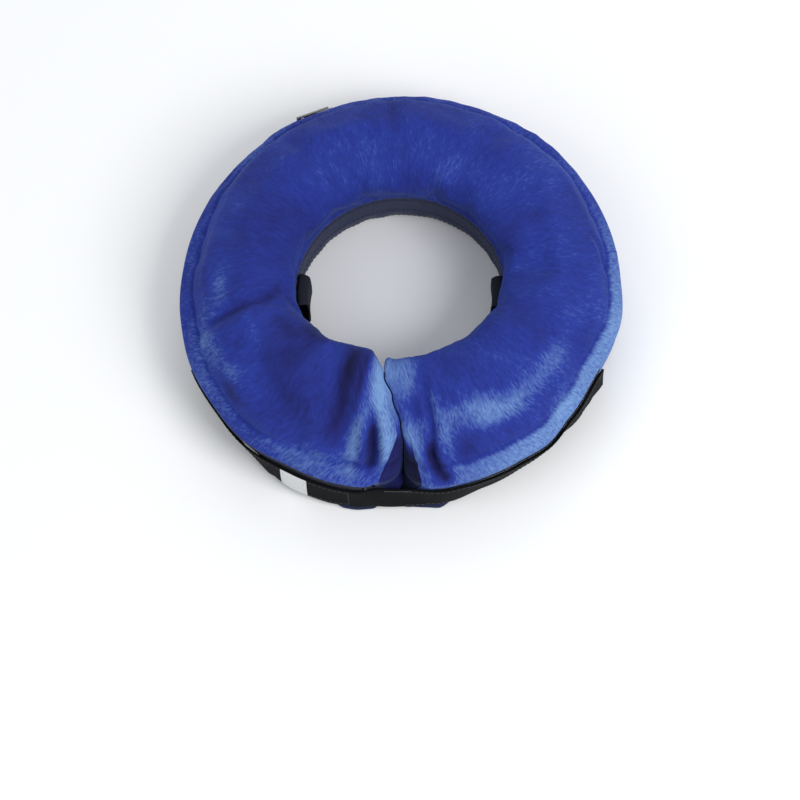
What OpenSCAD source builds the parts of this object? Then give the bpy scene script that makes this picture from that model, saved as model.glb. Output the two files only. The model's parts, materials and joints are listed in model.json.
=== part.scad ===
/* [Ring] */
// Widest diameter of the inflated ring
outer_d = 310; // [300:1:320]
// Diameter of the neck hole at its rim
neck_d = 144; // [142:1:148]
// Height of the seam that joins the top panel to the outer gusset
top_seam_z = 50; // [48:1:53]
// Height to which the neck wall rises straight
rim_top_z = 56; // [52:1:60]
// Height of the control point that lifts the crown, near the neck
crown_z = 90; // [84:1:94]
// How far the neck wall below the rim is set back from the rim
neck_setback = 1.5; // [1:0.5:2.5]

/* [Cover] */
// Thickness of the plush with its backing
plush_t = 2.5; // [1.5:0.1:3]
// Thickness of the canvas
canvas_t = 1.2; // [0.8:0.1:1.6]
// Angle that each half stops short of the front slit
slit_gap = 0.35; // [0.2:0.05:1]
// Angle that each half stops short of the bend at the back
bend_gap = 0.15; // [0.1:0.05:0.3]
// Angle that each end panel takes up
end_panel_arc = 1; // [0.6:0.1:1.5]

/* [Bladder] */
// Distance between the outside of the cover and the bladder
bladder_inset = 6; // [5.5:0.5:9]
// Thickness of the bladder film
film_t = 0.5; // [0.4:0.1:1]
// Angle between the slit and each closed end of the bladder
bladder_end_arc = 3; // [2.5:0.5:6]

/* [Strap] */
// Width of the closing strap
strap_w = 25; // [22:0.5:25]
// Thickness of the strap webbing
strap_t = 1.5; // [1:0.1:2]
// Height of the strap's lower edge
strap_z = 5; // [4:0.5:5]
// Angle where the sewn part of the strap starts
strap_start = 203; // [200:1:225]
// Angle where the strap leaves the left half and can be lifted
strap_root = 262; // [258:1:265]
// Angle of the strap's first crease on the right half
strap_crease_1 = 287; // [284:1:290]
// Angle of the strap's second crease on the right half
strap_crease_2 = 312; // [308:1:316]
// Angle where the strap ends
strap_end = 338; // [332:1:340]
// Thickness of the hook strip on the back of the strap
hook_t = 0.5; // [0.3:0.1:0.6]
// Thickness of the loop patch on the right half
loop_t = 0.7; // [0.5:0.1:0.8]

/* [Label] */
// Length of the sewn label along the strap
label_w = 20; // [16:1:26]
// Angle of the middle of the label
label_at = 244.5; // [234:0.5:252]
// Thickness of the label tape
label_t = 0.5; // [0.3:0.1:0.8]

/* [Zipper] */
// Angle where the zipper starts, near the bend at the back
zipper_start = 108; // [100:1:115]
// Angle where the zipper ends, near the slit
zipper_end = 264.5; // [261:0.5:265]
// Height of the middle of the zipper
zipper_z = 34.5; // [34.5:0.1:34.7]
// Angle of the middle of the slider when the zipper is closed
slider_at = 112; // [112:1:118]
// Length of the slider along the zipper, as an angle
slider_arc = 4.4; // [3.6:0.2:5]
// Length of the pull tab
pull_len = 22; // [16:1:26]

/* [Neck loops] */
// Width of each loop of webbing, around the neck hole
loop_w = 22; // [16:1:25]
// Clear depth of each loop, between the webbing and the wall
loop_gap = 7; // [6:0.5:8]

/* [Valve] */
// Distance of the valve from the neck axis
valve_r = 114; // [106:1:120]
// Radius of the port in the underside
port_r = 14; // [13:0.5:16]
// Radius of the stem's bore
stem_bore_r = 3.5; // [3:0.1:4]

/* [Hidden] */

$fn = 96;

plush_blue = [0.16, 0.24, 0.66];
canvas_navy = [0.06, 0.09, 0.20];
strap_black = [0.08, 0.08, 0.09];

outer_r = outer_d / 2;
neck_r = neck_d / 2;
wall_r = neck_r + neck_setback;
front = 270;
back = 90;

// Seams of the cover's section, as [distance from the neck axis, height]
neck_seam = [wall_r, 35];
top_seam = [outer_r - 10, top_seam_z];
plush_edge = [outer_r - 0.1, 38.5];
wall_top = [outer_r - 1.8, 30];
low_seam = [outer_r - 5.5, 9];
neck_low_seam = [wall_r, 14];
flat_out = outer_r - 18;
flat_in = wall_r + 14.5;

function bezier(a, b, c, d, n) =
    [for (i = [0:n]) let(t = i / n, u = 1 - t) u*u*u*a + 3*u*u*t*b + 3*u*t*t*c + t*t*t*d];
function past_first(list) = [for (i = [1:len(list) - 1]) list[i]];
function reversed(list) = [for (i = [len(list) - 1:-1:0]) list[i]];

rim = [[neck_r, neck_seam.y + 2], [neck_r, rim_top_z]];
top_curve = bezier(rim[1], [neck_r, crown_z], [outer_r - 47, crown_z - 10], top_seam, 16);
shoulder = bezier(top_seam, top_seam + [4.5, -3], plush_edge + [-1, 5], plush_edge, 6);
lower_wall = bezier(wall_top, wall_top + [0.2, -7], low_seam + [2.3, 6], low_seam, 5);
outer_turn = bezier(low_seam, low_seam + [-2, -6], [flat_out + 7, 0], [flat_out, 0], 6);
inner_turn = bezier([flat_in, 0], [flat_in - 9, 0], neck_low_seam - [0, 9], neck_low_seam, 6);

// The whole section, clockwise from the foot of the neck wall, and the places of its seams in it
to_neck_seam = [neck_low_seam, neck_seam];
to_top_seam = concat(to_neck_seam, rim, past_first(top_curve));
to_plush_edge = concat(to_top_seam, past_first(shoulder));
to_wall_top = concat(to_plush_edge, [wall_top]);
to_low_seam = concat(to_wall_top, past_first(lower_wall));
to_flat_out = concat(to_low_seam, past_first(outer_turn));
section = concat(to_flat_out, reversed(past_first(reversed(inner_turn))));
i_neck_seam = len(to_neck_seam) - 1;
i_top_seam = len(to_top_seam) - 1;
i_plush_edge = len(to_plush_edge) - 1;
i_wall_top = len(to_wall_top) - 1;
i_low_seam = len(to_low_seam) - 1;
i_flat_in = len(to_flat_out);

function at(i) = section[i % len(section)];
function outward(i) =
    let(d = at(i + 1) - at(i + len(section) - 1)) [-d.y, d.x] / norm(d);
function inset(i, t) = at(i) - t * outward(i);

// Closed outline of the stretch of cover from seam i to seam j, of thickness t
function panel(i, j, t) =
    concat([for (k = [i:j]) inset(k, 0)], [for (k = [j:-1:i]) inset(k, t)]);

left_start = back + bend_gap;
left_end = front - slit_gap - end_panel_arc;
right_start = front + slit_gap + end_panel_arc;
right_end = 360 + back - bend_gap;

module sweep(from, to) {
    rotate([0, 0, from]) rotate_extrude(angle = to - from) children();
}

module cover_panel(i, j, t, from, to) {
    sweep(from, to) polygon(panel(i, j, t));
}

module end_disc(from) {
    sweep(from, from + end_panel_arc) polygon(section);
}

// Film shell, closed near the slit and open at the bend, where the two halves are one bladder
module bladder_half(from, to, cut_from, cut_to) {
    difference() {
        sweep(from, to) polygon([for (k = [0:len(section) - 1]) inset(k, bladder_inset)]);
        sweep(cut_from, cut_to) polygon([for (k = [0:len(section) - 1]) inset(k, bladder_inset + film_t)]);
    }
}

bladder_cap_arc = 0.4;
bladder_over = 1;

// Valve, in its own axes: the port is in the flat underside
port_binding_w = 2;
port_depth = 2.2;
stem_r = stem_bore_r + 1.7;
flange_t = 0.7;
flange_r = port_r - 2;
stem_lip_z = 4;
stem_lip_t = 1.2;
stem_lip_r = stem_r + 2.3;
stem_top_z = 22;
stem_clear = 0.3;
plug_clear = 0.05;
plug_top_z = 14;
plug_head_z = 2.4;
plug_head_t = 1.5;
plug_tab_w = 5;
plug_tab_t = 1;
plug_tab_reach = port_r - 2.5;
flap_t = 0.6;

module at_valve() {
    translate([-valve_r, 0, 0]) children();
}

module top_panel_left() {
    color(plush_blue) cover_panel(i_neck_seam, i_top_seam, plush_t, left_start, left_end);
}

module top_panel_right() {
    color(plush_blue) cover_panel(i_neck_seam, i_top_seam, plush_t, right_start, right_end);
}

// On the left half the plush stops above the zipper
module outer_gusset_left() {
    color(plush_blue) cover_panel(i_top_seam, i_plush_edge, plush_t, left_start, left_end);
}

module lower_wall_left() {
    color(canvas_navy) cover_panel(i_wall_top, i_low_seam, canvas_t, left_start, left_end);
}

// On the right half the plush runs on down behind the strap
module outer_gusset_right() {
    color(plush_blue) cover_panel(i_top_seam, i_low_seam, plush_t, right_start, right_end);
}

module bottom_panel_left() {
    color(canvas_navy) difference() {
        cover_panel(i_low_seam, i_flat_in, canvas_t, left_start, left_end);
        at_valve() translate([0, 0, -1]) cylinder(r = port_r + port_binding_w, h = canvas_t + 2);
    }
}

module bottom_panel_right() {
    color(canvas_navy) cover_panel(i_low_seam, i_flat_in, canvas_t, right_start, right_end);
}

// Strip that turns up from the flat underside to the neck wall
module neck_facing_left() {
    color(canvas_navy) cover_panel(i_flat_in, len(section), canvas_t, left_start, left_end);
}

module neck_facing_right() {
    color(canvas_navy) cover_panel(i_flat_in, len(section), canvas_t, right_start, right_end);
}

module inner_gusset_left() {
    color(canvas_navy) cover_panel(0, i_neck_seam, canvas_t, left_start, left_end);
}

module inner_gusset_right() {
    color(canvas_navy) cover_panel(0, i_neck_seam, canvas_t, right_start, right_end);
}

module end_panel_left() {
    color(plush_blue) end_disc(left_end);
}

module end_panel_right() {
    color(plush_blue) end_disc(front + slit_gap);
}

module bladder_left() {
    shut = front - bladder_end_arc;
    color("lightsteelblue") difference() {
        bladder_half(left_start, shut, left_start - bladder_over, shut - bladder_cap_arc);
        at_valve() translate([0, 0, bladder_inset - 1]) cylinder(r = stem_r + stem_clear, h = 2 + film_t);
    }
}

module bladder_right() {
    shut = front + bladder_end_arc;
    color("lightsteelblue") bladder_half(shut, right_end, shut + bladder_cap_arc, right_end + bladder_over);
}

// Zipper, in the band between the plush edge and the strap
tape_in = outer_r - 2.8;
tape_t = 0.7;
coil_t = 1.7;
coil_h = 1.95;
row_gap = 0.45;
coil_out = tape_in + tape_t + coil_t;
upper_tape_top = plush_edge.y - 0.5;
lower_tape_foot = wall_top.y + 0.6;
stop_arc = 1;
stop_proud = 0.2;

module ring_bar(r_in, r_out, z_low, z_high, from, to) {
    sweep(from, to) translate([r_in, z_low]) square([r_out - r_in, z_high - z_low]);
}

module zipper_tape_upper() {
    color(strap_black)
        ring_bar(tape_in, tape_in + tape_t, zipper_z + row_gap, upper_tape_top, zipper_start, zipper_end);
}

module zipper_tape_lower() {
    color(strap_black)
        ring_bar(tape_in, tape_in + tape_t, lower_tape_foot, zipper_z - row_gap, zipper_start, zipper_end);
}

module zipper_coil_upper() {
    z = zipper_z + row_gap;
    color("dimgray") ring_bar(tape_in + tape_t, coil_out, z, z + coil_h, zipper_start, zipper_end - stop_arc);
}

module zipper_coil_lower() {
    z = zipper_z - row_gap;
    color("dimgray") ring_bar(tape_in + tape_t, coil_out, z - coil_h, z, zipper_start, zipper_end - stop_arc);
}

module zipper_stop(from) {
    color("silver") ring_bar(
        tape_in + tape_t, coil_out + stop_proud, zipper_z - coil_h, zipper_z + coil_h, from, from + stop_arc
    );
}

module zipper_stop_front() {
    zipper_stop(zipper_end - stop_arc);
}

module zipper_stop_back() {
    zipper_stop(zipper_start - stop_arc);
}

// Canvas that closes the wall where the zipper has ended
module zipper_end_tab_front() {
    color(canvas_navy) cover_panel(i_plush_edge, i_wall_top, canvas_t, zipper_end, left_end);
}

module zipper_end_tab_back() {
    color(canvas_navy) cover_panel(i_plush_edge, i_wall_top, canvas_t, left_start, zipper_start - stop_arc);
}

slider_play = 0.3;
plate_t = 1.2;
slider_h = 6.4;
bridge_h = 0.5;
bridge_arc = 1.2;
bail_rise = 2.4;
bail_t = 1;
bail_w = 1.2;
bail_arc = 2.6;
post_arc = 0.45;
plate_out = coil_out + slider_play + plate_t;
plate_in = tape_in - slider_play - plate_t;
pull_t = 1.2;
pull_axis_r = plate_out + bail_rise / 2;

module slider_bar(r_in, r_out, h, arc, middle) {
    ring_bar(r_in, r_out, zipper_z - h / 2, zipper_z + h / 2, middle - arc / 2, middle + arc / 2);
}

// Two plates joined by a thin bridge that runs between the coils, and a bail over the outer plate
module zipper_slider() {
    color("gray") {
        slider_bar(plate_out - plate_t, plate_out, slider_h, slider_arc, slider_at);
        slider_bar(plate_in, plate_in + plate_t, slider_h, slider_arc, slider_at);
        slider_bar(plate_in + plate_t / 2, plate_out - plate_t / 2, bridge_h, bridge_arc, slider_at);
        slider_bar(plate_out + bail_rise, plate_out + bail_rise + bail_t, bail_w, bail_arc, slider_at);
        for (side = [-1, 1]) {
            post_at = slider_at + side * (bail_arc - post_arc) / 2;
            slider_bar(plate_out - plate_t / 2, plate_out + bail_rise + bail_t / 2, bail_w, post_arc, post_at);
        }
    }
}

pull_w = 6;
rail_w = 1.3;
eye_len = 5.5;
pull_hole_r = 1.4;
pull_hole_at = pull_len - 5;

// Tab with an eye round the bail, lying along the closed coil
module zipper_pull() {
    color("gray") rotate([0, 0, slider_at]) translate([pull_axis_r, 0, zipper_z]) difference() {
        translate([-pull_t / 2, -pull_t / 2, -pull_w / 2]) cube([pull_t, pull_len, pull_w]);
        translate([-pull_t, pull_t / 2, -pull_w / 2 + rail_w]) cube([2 * pull_t, eye_len, pull_w - 2 * rail_w]);
        translate([-pull_t, pull_hole_at, 0]) rotate([0, 90, 0]) cylinder(r = pull_hole_r, h = 2 * pull_t);
    }
}

// Strap, leaning with the wall
strap_foot = [outer_r - 2.4, strap_z];
strap_head = [outer_r - 0.1, strap_z + strap_w];
crease_gap = 0.1;
hook_margin = 1.5;
hook_start_arc = 2;
hook_end_arc = 1;
label_margin = 0.02;
patch_start_arc = 6;
patch_end_arc = 3;

function strap_at(f, out) = strap_foot + f * (strap_head - strap_foot) + [out, 0];

module strap_piece(f_low, f_high, in, out, from, to) {
    sweep(from, to)
        polygon([strap_at(f_low, in), strap_at(f_high, in), strap_at(f_high, out), strap_at(f_low, out)]);
}

module webbing(from, to) {
    color(strap_black) strap_piece(0, 1, 0, strap_t, from, to);
}

module hook_strip(from, to) {
    color("dimgray") strap_piece(hook_margin / strap_w, 1 - hook_margin / strap_w, -hook_t, 0, from, to);
}

module strap_base() {
    webbing(strap_start, strap_root - crease_gap);
}

module strap_front() {
    webbing(strap_root + crease_gap, strap_crease_1 - crease_gap);
}

module strap_middle() {
    webbing(strap_crease_1 + crease_gap, strap_crease_2 - crease_gap);
}

module strap_tip() {
    webbing(strap_crease_2 + crease_gap, strap_end);
}

module hook_strip_front() {
    hook_strip(front + hook_start_arc, strap_crease_1 - crease_gap);
}

module hook_strip_middle() {
    hook_strip(strap_crease_1 + crease_gap, strap_crease_2 - crease_gap);
}

module hook_strip_tip() {
    hook_strip(strap_crease_2 + crease_gap, strap_end - hook_end_arc);
}

module label() {
    half = label_w / outer_r * 90 / PI;
    color("white")
        strap_piece(label_margin, 1 - label_margin, strap_t, strap_t + label_t, label_at - half, label_at + half);
}

// Loop tape sewn to the plush wall, where the hook strip lands
module loop_patch() {
    color("black") sweep(front + patch_start_arc, strap_end - patch_end_arc)
        polygon(concat(
            [for (k = [i_wall_top:i_low_seam]) inset(k, 0)],
            [for (k = [i_low_seam:-1:i_wall_top]) inset(k, -loop_t)]
        ));
}

// Loops for the pet's own collar: sewn at the neck seam and under the inner turn
webbing_t = 1.5;
loop_in = wall_r - loop_gap;
front_loop_arc = 15;
corner = 0.5;
foot_drop = 0.6;

module neck_loop(middle) {
    half = asin(loop_w / 2 / loop_in);
    z_top = neck_seam.y;
    sewn_out = inner_turn[3];
    sewn_in = inner_turn[4];
    z_foot = sewn_out.y - foot_drop;
    color(strap_black) sweep(middle - half, middle + half) polygon([
        sewn_out,
        [loop_in, z_foot],
        [loop_in - webbing_t, z_foot + webbing_t],
        [loop_in - webbing_t, z_top - webbing_t],
        [loop_in, z_top],
        [wall_r, z_top],
        [wall_r, z_top - webbing_t],
        [loop_in + corner, z_top - webbing_t],
        [loop_in, z_top - webbing_t - corner],
        [loop_in, z_foot + webbing_t + corner],
        [loop_in + corner, z_foot + webbing_t],
        sewn_in
    ]);
}

module neck_loop_left() {
    neck_loop(180);
}

module neck_loop_front_left() {
    neck_loop(front - front_loop_arc);
}

module neck_loop_right() {
    neck_loop(0);
}

module neck_loop_front_right() {
    neck_loop(front + front_loop_arc);
}

module port_binding() {
    color(strap_black) at_valve() difference() {
        cylinder(r = port_r + port_binding_w, h = port_depth);
        translate([0, 0, -1]) cylinder(r = port_r, h = port_depth + 2);
    }
}

module valve_flange() {
    color("white") at_valve() translate([0, 0, bladder_inset - flange_t]) difference() {
        cylinder(r = flange_r, h = flange_t);
        translate([0, 0, -1]) cylinder(r = stem_r + stem_clear, h = flange_t + 2);
    }
}

module valve_stem() {
    color("white") at_valve() difference() {
        union() {
            translate([0, 0, stem_lip_z]) cylinder(r = stem_r, h = stem_top_z - stem_lip_z);
            translate([0, 0, stem_lip_z]) cylinder(r = stem_lip_r, h = stem_lip_t);
        }
        translate([0, 0, stem_lip_z - 1]) cylinder(r = stem_bore_r, h = stem_top_z - stem_lip_z + 2);
    }
}

module valve_flap() {
    color("white") at_valve() translate([0, 0, stem_top_z]) cylinder(r = stem_r, h = flap_t);
}

module valve_plug() {
    color("white") at_valve() {
        translate([0, 0, plug_head_z]) cylinder(r = stem_lip_r, h = plug_head_t);
        translate([0, 0, plug_head_z]) cylinder(r = stem_bore_r - plug_clear, h = plug_top_z - plug_head_z);
        translate([0, -plug_tab_w / 2, plug_head_z]) cube([plug_tab_reach, plug_tab_w, plug_tab_t]);
    }
}

top_panel_left();
outer_gusset_left();
lower_wall_left();
bottom_panel_left();
neck_facing_left();
inner_gusset_left();
end_panel_left();
bladder_left();
zipper_tape_upper();
zipper_tape_lower();
zipper_coil_upper();
zipper_coil_lower();
zipper_stop_front();
zipper_stop_back();
zipper_end_tab_front();
zipper_end_tab_back();
strap_base();
label();
port_binding();
valve_flange();
neck_loop_left();
neck_loop_front_left();
top_panel_right();
outer_gusset_right();
bottom_panel_right();
neck_facing_right();
inner_gusset_right();
end_panel_right();
bladder_right();
loop_patch();
neck_loop_right();
neck_loop_front_right();
strap_front();
hook_strip_front();
strap_middle();
hook_strip_middle();
strap_tip();
hook_strip_tip();
zipper_slider();
zipper_pull();
valve_stem();
valve_flap();
valve_plug();
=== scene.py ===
"""Looks of an inflatable, plush covered recovery collar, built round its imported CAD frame."""
import json
import math

import bpy
import numpy as np
from mathutils import Matrix, Vector


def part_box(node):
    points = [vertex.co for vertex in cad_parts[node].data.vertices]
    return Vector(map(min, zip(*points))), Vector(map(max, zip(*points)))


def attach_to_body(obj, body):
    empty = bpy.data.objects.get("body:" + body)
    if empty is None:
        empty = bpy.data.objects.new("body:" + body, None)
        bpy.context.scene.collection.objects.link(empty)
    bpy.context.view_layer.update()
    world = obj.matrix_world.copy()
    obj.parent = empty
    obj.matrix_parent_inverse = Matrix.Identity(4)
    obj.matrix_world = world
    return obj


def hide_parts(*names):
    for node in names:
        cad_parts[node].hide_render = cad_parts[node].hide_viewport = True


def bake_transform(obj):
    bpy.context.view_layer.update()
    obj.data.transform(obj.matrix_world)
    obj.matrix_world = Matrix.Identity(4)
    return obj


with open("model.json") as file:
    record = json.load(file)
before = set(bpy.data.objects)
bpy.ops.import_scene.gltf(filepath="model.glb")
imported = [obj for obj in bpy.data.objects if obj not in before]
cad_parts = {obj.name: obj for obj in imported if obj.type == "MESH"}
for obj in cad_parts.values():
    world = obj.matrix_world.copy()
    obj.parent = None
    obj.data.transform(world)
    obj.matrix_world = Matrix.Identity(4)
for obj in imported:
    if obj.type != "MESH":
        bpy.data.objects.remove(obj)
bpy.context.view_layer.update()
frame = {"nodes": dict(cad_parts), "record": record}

# ---- driving sizes, in millimetres
MM = 0.001


def box_mm(node):
    low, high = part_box(node)
    return np.array(low) / MM, np.array(high) / MM


mounts = {m["name"]: m for m in frame["record"]["mounts"]}
NECK_R = mounts["neck_rim"]["dims"]["r_mm"]
WALL_R = NECK_R + 1.5
OUT_R = -box_mm("outer_gusset_left")[0][0] + 0.1
TOP_SEAM = np.array([OUT_R - 10, 50.0])
PLUSH_EDGE = np.array([OUT_R - 0.1, 38.5])
WALL_TOP = np.array([OUT_R - 1.8, 30.0])
LOW_SEAM = np.array([OUT_R - 5.5, 9.0])
NECK_SEAM = np.array([WALL_R, 35.0])
NECK_LOW = np.array([WALL_R, 14.0])
RIM_TOP = np.array([NECK_R, 56.0])
FLAT_OUT = OUT_R - 18
FLAT_IN = WALL_R + 14.5
MID_R = 112.0
CENTRE = np.array([MID_R, 37.0])
STRAP_LOW, STRAP_HIGH = box_mm("strap_front")[0][2], box_mm("strap_front")[1][2]
ZIP_Z = 34.5
SPLIT_LEFT, SPLIT_RIGHT = 140.0, 28.0


# ---- small maths
def smooth(x):
    t = np.clip(x, 0.0, 1.0)
    return t * t * (3 - 2 * t)


def rise(x, low, high):
    """0 up to low, 1 from high on, and smooth between."""
    return smooth((x - low) / (high - low))


def fall(x, low, high):
    return smooth((high - x) / (high - low))


def ease(x, xs, ys):
    """Smooth interpolation through the pairs xs, ys."""
    x = np.asarray(x, float)
    xs, ys = np.asarray(xs, float), np.asarray(ys, float)
    i = np.clip(np.searchsorted(xs, x) - 1, 0, len(xs) - 2)
    return ys[i] + (ys[i + 1] - ys[i]) * smooth((x - xs[i]) / (xs[i + 1] - xs[i]))


def bezier(a, b, c, d, n=40):
    t = np.linspace(0, 1, n + 1)[:, None]
    u = 1 - t
    return u**3 * np.asarray(a, float) + 3 * u * u * t * np.asarray(b, float) \
        + 3 * u * t * t * np.asarray(c, float) + t**3 * np.asarray(d, float)


def run_along(points):
    """Distance along a polyline from its first point to each point."""
    return np.r_[0, np.cumsum(np.linalg.norm(np.diff(points, axis=0), axis=1))]


def resample(points, n):
    """n + 1 points at equal distances along a polyline."""
    run = run_along(points)
    at = np.linspace(0, run[-1], n + 1)
    return np.stack([np.interp(at, run, points[:, k]) for k in range(points.shape[1])], 1)


def polar(r, degrees, z):
    """Points at a distance and an angle round the neck axis."""
    return np.stack([r * np.cos(np.radians(degrees)), r * np.sin(np.radians(degrees)), z], -1)


def bell(x, width):
    return np.exp(-(x / width) ** 2)


def ripple(u, v, seed, wave_u, wave_v, count=14):
    """Smooth irregular field of about -1 to 1 over u, v, with those wavelengths."""
    rng = np.random.default_rng(seed)
    total = np.zeros(np.broadcast(u, v).shape)
    for _ in range(count):
        ku, kv = rng.normal(0, 1, 2)
        turns = (ku * u / wave_u + kv * v / wave_v) * 0.7
        total += np.sin(2 * math.pi * turns + rng.uniform(0, 2 * math.pi))
    return total / math.sqrt(count / 2) * 0.6


# ---- section of the cover
STRETCHES = {"neck": 6, "top": 50, "gusset": 7, "band": 3, "wall": 9, "base": 20, "facing": 7}


def section(fine):
    """Closed outline of the cover from the foot of the neck wall upward, and each stretch's first row."""
    curves = {
        "neck": np.array([NECK_LOW, NECK_SEAM]),
        "top": np.vstack([[NECK_SEAM], [NECK_R, 37.0], bezier(
            RIM_TOP, [NECK_R, 90], [OUT_R - 47, 80], TOP_SEAM)]),
        "gusset": bezier(TOP_SEAM, TOP_SEAM + [4.5, -3], PLUSH_EDGE + [-1, 5], PLUSH_EDGE),
        "band": np.array([PLUSH_EDGE, WALL_TOP]),
        "wall": bezier(WALL_TOP, WALL_TOP + [0.2, -7], LOW_SEAM + [2.3, 6], LOW_SEAM),
        "base": np.vstack([bezier(LOW_SEAM, LOW_SEAM + [-2, -6], [FLAT_OUT + 7, 0], [FLAT_OUT, 0]),
                           [[FLAT_IN, 0]]]),
        "facing": bezier([FLAT_IN, 0], [FLAT_IN - 9, 0], NECK_LOW - [0, 9], NECK_LOW),
    }
    rows, first = [], {}
    for name, count in STRETCHES.items():
        first[name] = sum(len(r) for r in rows)
        rows.append(resample(curves[name], count * fine)[:-1])
    points = np.vstack(rows)
    first["end"] = len(points)
    return points, first, run_along(points)


# ---- plan shape of the two front ends
EDGE_COLS, MAIN_COLS = 6, 113  # columns over the rounded edge of an end, and over one half of the ring
HALF_ROUND, EDGE_R = math.pi * MID_R, 8  # half the way round the ring, and the usual radius of that edge
SLIT_R, SLIT_X = [60, 74, 89, 100, 119, 130, 150], [-12.5, -11.5, -7.5, -1.5, 4.4, 6.4, 6.0]
# Each list of angles below goes with the list of millimetres under it
SHIFT_AT = [90, 150, 174, 190, 204, 215, 229, 243, 253, 259, 266,
            273, 284, 294, 303, 312, 322, 333, 352, 364, 450]
SHIFT = [0, -1.4, -1.4, -0.2, 1.2, 0.6, 2.2, -0.2, -0.4, -1.0, -4.9,
         -4.9, -0.8, 0, 0.4, 2.2, -1.0, -2.6, 2.4, 0.5, 0]
NECK_FULL_AT = [90, 200, 226, 246, 276, 300, 322, 346, 450]
NECK_FULL = [0, 0, 4, 6.5, 6.5, 4.5, 4.5, 0, 0]
STRAP_LEAN_AT = [90, 130, 203, 227, 243, 252, 259, 266, 274, 284, 294, 314, 328, 338, 352, 400, 450]
STRAP_LEAN = [5, 6, 10.5, 5.5, -2.6, -2.4, -1.2, -3.2, -2.6, 2.2, 6, 8, 2.5, -1.5, 1, 5, 5]
LEAN_BASE = 2.3  # lean at which the cover's own wall follows the strap without being drawn in
WALL_FLARE, GUSSET_IN, SEAM_OUT = 4.4, 2.4, 3.4  # fullness round the left side
LOBE_LEFT, LOBE_RIGHT = 12.5, 11.0  # how far the foot of each end bulges out below the strap


def slit_x(r, z):
    """Where the two ends meet."""
    return ease(r, SLIT_R, SLIT_X) * rise(z, 8, 24) - 2.1 * fall(z, 8, 22)


def end_gap(r, z, side):
    """How far an end stands back from the slit line: a little at the neck and at the foot."""
    notch = fall(r, 74, 86) * rise(z, 40, 60)
    foot = fall(z, 6, 26)
    lobe = (2.6 if side < 0 else 0.0) * fall(z, 4, 13) * rise(r, 118, 132)
    return 0.3 + (3.2 if side < 0 else 3.6) * notch + (2.6 if side < 0 else 1.4) * foot + lobe


def end_round(r, z, side):
    """Radius of the edge of an end: large where the top and the outer gusset are gathered into it."""
    corner = np.clip((r - 126) / 25, 0, 1.15) * rise(z, 16, 32) * fall(z, 62, 74)
    return 4.5 + (14.0 if side < 0 else 11.0) * corner + 2.5 * fall(z, 12, 24)


def once_round(phi):
    """The angle counted from 90 at the back to 450 at the back again."""
    return np.where(np.asarray(phi) < 90, np.asarray(phi) + 360, phi)


def plan_shift(phi):
    """How far the outline lies beyond a circle, at an angle."""
    return ease(once_round(phi), SHIFT_AT, SHIFT)


def strap_lean(phi):
    """How far the strap's lower edge lies nearer the neck axis than its upper edge, at an angle."""
    return ease(once_round(phi), STRAP_LEAN_AT, STRAP_LEAN)


def column_plan(fine):
    """Each column from the left end to the right one: its turn of the rounded edge, its share of the way
    to the back, its side, its nominal angle and its distance from the slit."""
    arc = np.linspace(90, 0, EDGE_COLS * fine + 1)[:-1]
    main = np.linspace(0, 1, MAIN_COLS * fine + 1)
    left = [(a, 0.0, -1) for a in arc] + [(0.0, t, -1) for t in main]
    right = [(a, 0.0, 1) for a in arc] + [(0.0, t, 1) for t in main[:-1]]
    plan = np.array(left + right[::-1])
    d = np.where(plan[:, 1] > 0, EDGE_R + plan[:, 1] * (HALF_ROUND - EDGE_R),
                 EDGE_R * (1 - np.sin(np.radians(plan[:, 0]))))
    angle = np.where(plan[:, 2] < 0, 270 - np.degrees(d / MID_R), -90 + np.degrees(d / MID_R))
    return np.column_stack([plan, angle, d])


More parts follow.
